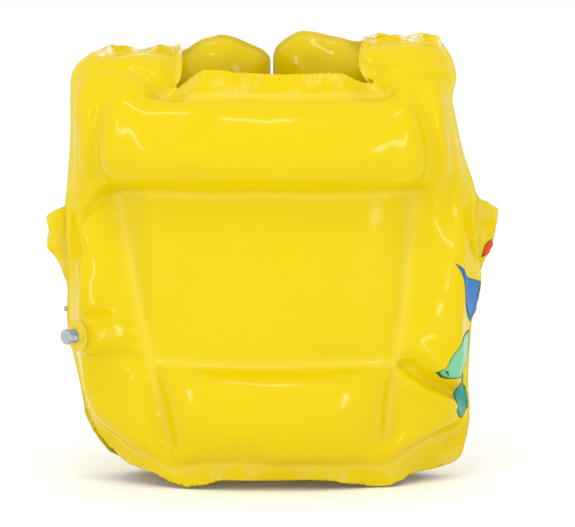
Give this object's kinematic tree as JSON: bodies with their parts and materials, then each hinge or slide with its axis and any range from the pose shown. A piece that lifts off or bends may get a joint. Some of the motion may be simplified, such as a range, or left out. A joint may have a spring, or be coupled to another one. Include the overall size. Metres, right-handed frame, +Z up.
{
  "type": "inflatable life jacket",
  "caption": "Child's inflatable swim vest of glossy welded film: puffed back, chest and shoulder cells, strap buckles and push-in valves.",
  "frame": {"origin": "bottom centre of the vest, on the surface that it stands on", "axes": "+Z up; -Y towards the back panel, +Y towards the front opening; -X is the wearer's left"},
  "size_m": [0.422, 0.218, 0.428],
  "materials": {
    "film": "glossy smooth vinyl film",
    "clear_pvc": "clear soft vinyl",
    "buckle": "satin acetal",
    "webbing": "flat woven webbing"
  },
  "bodies": {
    "back": {"back_upper_cell": "film", "back_lower_cell": "film", "back_left_side_cell": "film", "back_right_side_cell": "film", "back_centre_panel": "film", "back_left_shoulder_cell": "film", "back_right_shoulder_cell": "film", "back_collar": "film", "back_hem": "film", "left_side_fold": "film", "right_side_fold": "film", "back_valve_base": "clear_pvc"},
    "left_front": {"left_chest_cell": "film", "left_belly_cell": "film", "left_front_side_cell": "film", "left_front_shoulder_cell": "film", "left_front_edge": "film", "left_front_hem": "film", "left_armhole_tab": "film", "left_valve_base": "clear_pvc", "left_upper_patch": "film", "left_lower_patch": "film", "upper_socket_webbing": "webbing", "lower_socket_webbing": "webbing", "upper_buckle_socket": "buckle", "lower_buckle_socket": "buckle"},
    "right_front": {"right_chest_cell": "film", "right_belly_cell": "film", "right_front_side_cell": "film", "right_front_shoulder_cell": "film", "right_front_edge": "film", "right_front_hem": "film", "right_armhole_tab": "film", "right_valve_base": "clear_pvc", "right_upper_patch": "film", "right_lower_patch": "film", "upper_strap_webbing": "webbing", "lower_strap_webbing": "webbing"},
    "back_valve_stem": {"back_valve_stem": "clear_pvc"},
    "back_valve_flap": {"back_valve_flap": "clear_pvc"},
    "back_valve_plug": {"back_valve_plug": "clear_pvc"},
    "left_valve_stem": {"left_valve_stem": "clear_pvc"},
    "left_valve_flap": {"left_valve_flap": "clear_pvc"},
    "left_valve_plug": {"left_valve_plug": "clear_pvc"},
    "right_valve_stem": {"right_valve_stem": "clear_pvc"},
    "right_valve_flap": {"right_valve_flap": "clear_pvc"},
    "right_valve_plug": {"right_valve_plug": "clear_pvc"},
    "upper_plug": {"upper_plug_frame": "buckle", "upper_strap_tail": "webbing"},
    "upper_top_prong": {"upper_plug_top_prong": "buckle"},
    "upper_bottom_prong": {"upper_plug_bottom_prong": "buckle"},
    "lower_plug": {"lower_plug_frame": "buckle", "lower_strap_tail": "webbing"},
    "lower_top_prong": {"lower_plug_top_prong": "buckle"},
    "lower_bottom_prong": {"lower_plug_bottom_prong": "buckle"}
  },
  "joints": [
    {"name": "left_front_swing", "type": "hinge", "parent": "back", "child": "left_front", "pos_m": [-0.178, 0, 0.2], "axis": [0, 0, 1], "range_deg": [0, 60]},
    {"name": "right_front_swing", "type": "hinge", "parent": "back", "child": "right_front", "pos_m": [0.178, 0, 0.2], "axis": [0, 0, -1], "range_deg": [0, 60]},
    {"name": "back_valve_push_in", "type": "slide", "parent": "back", "child": "back_valve_stem", "axis": [0.766, 0.6428, 0], "range_m": [0, 0.007]},
    {"name": "back_valve_flap_swing", "type": "hinge", "parent": "back_valve_stem", "child": "back_valve_flap", "pos_m": [-0.17445, -0.0634, 0.144], "axis": [0, 0, -1], "range_deg": [0, 25], "stiffness_Nm_per_rad": 0.0002},
    {"name": "back_valve_plug_pull", "type": "slide", "parent": "back_valve_stem", "child": "back_valve_plug", "axis": [-0.766, -0.6428, 0], "range_m": [0, 0.01]},
    {"name": "left_valve_push_in", "type": "slide", "parent": "left_front", "child": "left_valve_stem", "axis": [0.766, -0.6428, 0], "range_m": [0, 0.007]},
    {"name": "left_valve_flap_swing", "type": "hinge", "parent": "left_valve_stem", "child": "left_valve_flap", "pos_m": [-0.18165, 0.05482, 0.153], "axis": [0, 0, -1], "range_deg": [0, 25], "stiffness_Nm_per_rad": 0.0002},
    {"name": "left_valve_plug_pull", "type": "slide", "parent": "left_valve_stem", "child": "left_valve_plug", "axis": [-0.766, 0.6428, 0], "range_m": [0, 0.01]},
    {"name": "right_valve_push_in", "type": "slide", "parent": "right_front", "child": "right_valve_stem", "axis": [-0.766, -0.6428, 0], "range_m": [0, 0.007]},
    {"name": "right_valve_flap_swing", "type": "hinge", "parent": "right_valve_stem", "child": "right_valve_flap", "pos_m": [0.17445, 0.0634, 0.153], "axis": [0, 0, -1], "range_deg": [0, 25], "stiffness_Nm_per_rad": 0.0002},
    {"name": "right_valve_plug_pull", "type": "slide", "parent": "right_valve_stem", "child": "right_valve_plug", "axis": [0.766, 0.6428, 0], "range_m": [0, 0.01]},
    {"name": "upper_plug_slide", "type": "slide", "parent": "right_front", "child": "upper_plug", "axis": [-1, 0, 0], "range_m": [0, 0.02]},
    {"name": "upper_top_prong_squeeze", "type": "hinge", "parent": "upper_plug", "child": "upper_top_prong", "pos_m": [0.017, 0.1038, 0.2595], "axis": [0, -1, 0], "range_deg": [0, 6], "stiffness_Nm_per_rad": 0.005},
    {"name": "upper_bottom_prong_squeeze", "type": "hinge", "parent": "upper_plug", "child": "upper_bottom_prong", "pos_m": [0.017, 0.1038, 0.2445], "axis": [0, 1, 0], "range_deg": [0, 6]},
    {"name": "lower_plug_slide", "type": "slide", "parent": "right_front", "child": "lower_plug", "axis": [-1, 0, 0], "range_m": [0, 0.02]},
    {"name": "lower_top_prong_squeeze", "type": "hinge", "parent": "lower_plug", "child": "lower_top_prong", "pos_m": [0.017, 0.1038, 0.1255], "axis": [0, -1, 0], "range_deg": [0, 6], "stiffness_Nm_per_rad": 0.005},
    {"name": "lower_bottom_prong_squeeze", "type": "hinge", "parent": "lower_plug", "child": "lower_bottom_prong", "pos_m": [0.017, 0.1038, 0.1105], "axis": [0, 1, 0], "range_deg": [0, 6]}
  ],
  "couplings": [
    {"joint": "upper_bottom_prong_squeeze", "follows": "upper_top_prong_squeeze", "ratio": 1},
    {"joint": "lower_bottom_prong_squeeze", "follows": "lower_top_prong_squeeze", "ratio": 1}
  ]
}
